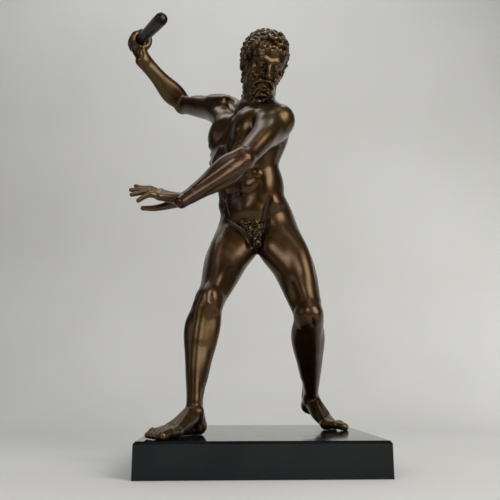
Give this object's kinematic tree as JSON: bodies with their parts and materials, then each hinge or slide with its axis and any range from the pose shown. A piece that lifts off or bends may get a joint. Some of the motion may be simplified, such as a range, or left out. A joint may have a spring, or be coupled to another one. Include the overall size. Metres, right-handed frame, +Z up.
{
  "type": "hercules statue",
  "caption": "Bronze statue of a bearded nude hero lunging with a raised club, one arm stretched across the body, on a square polished black stone plinth; stands as a table ornament.",
  "frame": {"origin": "centre of the plinth's underside", "axes": "+Z up, -Y the way the figure faces, +X to the figure's left"},
  "size_m": [0.2959, 0.2559, 0.5645],
  "materials": {
    "figure_bronze": "cast bronze with a dark brown waxed patina, worn reddish and golden on the raised forms",
    "club_bronze": "cast bronze with a darker, greyer patina, faintly knotted",
    "black_stone": null
  },
  "bodies": {
    "root": {"figure": "figure_bronze", "club": "club_bronze", "plinth": "black_stone"}
  },
  "joints": []
}
